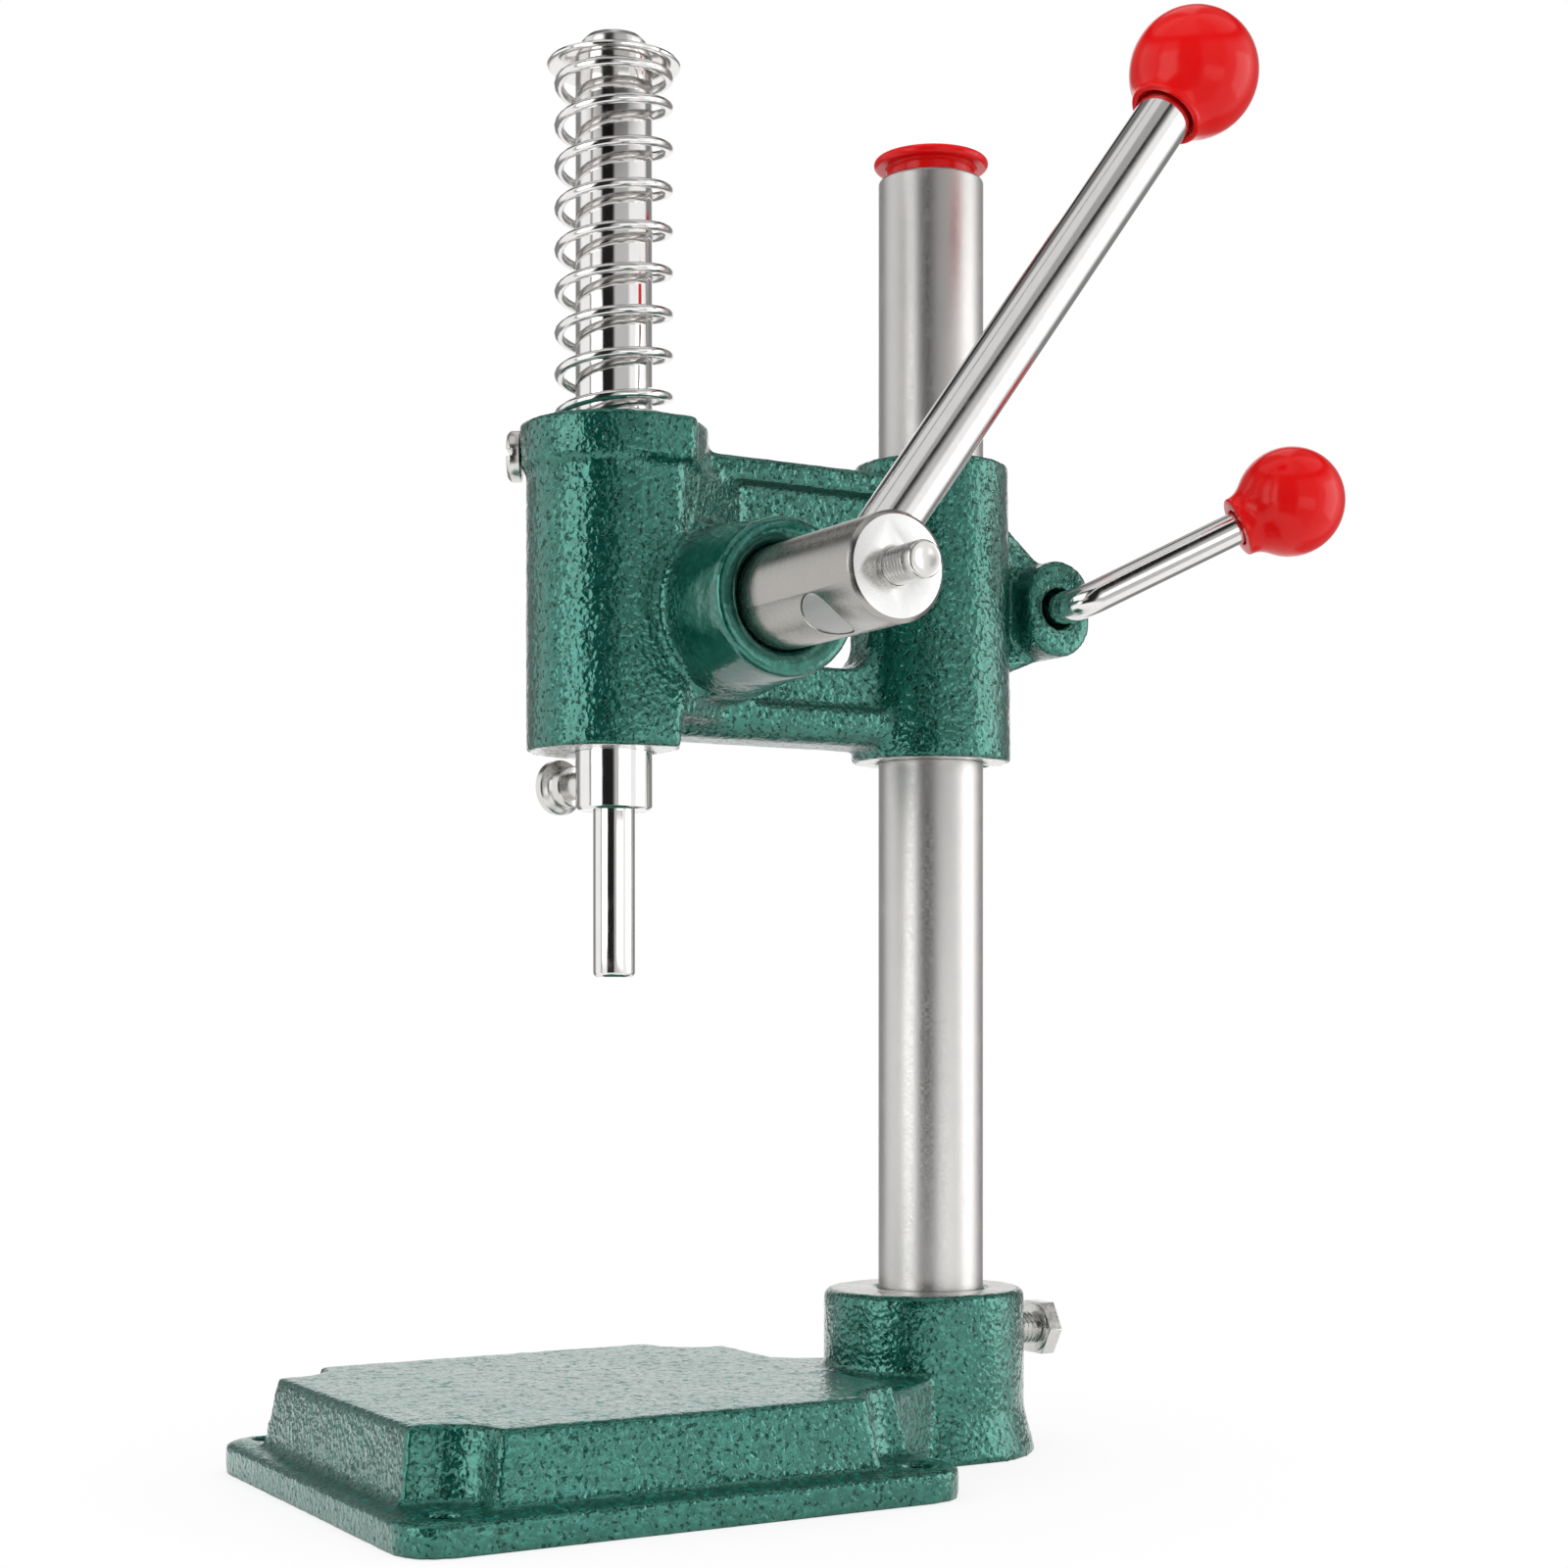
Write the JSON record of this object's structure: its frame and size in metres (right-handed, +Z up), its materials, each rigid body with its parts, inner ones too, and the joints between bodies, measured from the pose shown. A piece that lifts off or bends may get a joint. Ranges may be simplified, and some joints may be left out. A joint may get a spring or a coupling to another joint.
{
  "type": "button press",
  "caption": "Bench lever press: a side lever turns a pinion that drives a sprung ram down over a cast table; the head clamps on a round column.",
  "frame": {"origin": "centre of the four bench bolts, on the bench", "axes": "+Z up along the bench bolts, +Y back towards the column, +X to the operator's right, where the lever is"},
  "size_m": [0.198, 0.3083, 0.4183],
  "materials": {
    "green_paint": "cast iron in glossy green hammer-finish paint",
    "bright_steel": "bright zinc-plated steel",
    "column_steel": "satin ground steel tube",
    "hub_steel": "turned steel",
    "chrome_bar": "polished chrome",
    "spring_steel": "bright plated spring wire",
    "red_plastic": "glossy red moulded plastic",
    "brass": "plain brass"
  },
  "bodies": {
    "base": {"base_casting": "green_paint", "socket_bolt": "bright_steel"},
    "column": {"column_tube": "column_steel", "column_cap": "red_plastic"},
    "head": {"head_casting": "green_paint", "pinion_cover": "green_paint", "cover_screws": "bright_steel", "thrust_washer_right": "bright_steel", "thrust_washer_left": "bright_steel", "return_spring": "spring_steel", "drag_screw": "bright_steel", "drag_pad": "brass", "clamp_nut": "bright_steel"},
    "lever": {"pinion_shaft": "hub_steel", "lever_rod": "chrome_bar", "lever_ball": "red_plastic", "lever_ball_insert": "brass", "lever_set_screw": "bright_steel"},
    "ram": {"ram": "chrome_bar", "ram_top_screw": "bright_steel", "spring_washer": "bright_steel", "punch_rod": "chrome_bar", "punch_screw": "bright_steel"},
    "clamp": {"clamp_lever": "chrome_bar", "clamp_ball": "red_plastic", "clamp_ball_insert": "brass"}
  },
  "joints": [
    {"name": "column_swivel", "type": "hinge", "parent": "base", "child": "column", "pos_m": [0, 0.118, 0.05], "axis": [0, 0, 1], "continuous": true},
    {"name": "head_height", "type": "slide", "parent": "column", "child": "head", "axis": [0, 0, 1], "range_m": [-0.065, 0.08]},
    {"name": "lever_turn", "type": "hinge", "parent": "head", "child": "lever", "pos_m": [0, 0.0365, 0.2475], "axis": [1, 0, 0], "range_deg": [0, 150]},
    {"name": "ram_slide", "type": "slide", "parent": "head", "child": "ram", "axis": [0, 0, -1], "range_m": [0, 0.04713], "stiffness_N_per_m": 2000, "springref_m": -0.015, "deforming": ["return_spring"]},
    {"name": "clamp_turn", "type": "hinge", "parent": "head", "child": "clamp", "pos_m": [0, 0.154, 0.258], "axis": [1, 0, 0], "range_deg": [0, 90]}
  ],
  "couplings": [
    {"joint": "ram_slide", "follows": "lever_turn", "m_per_rad": 0.018}
  ]
}
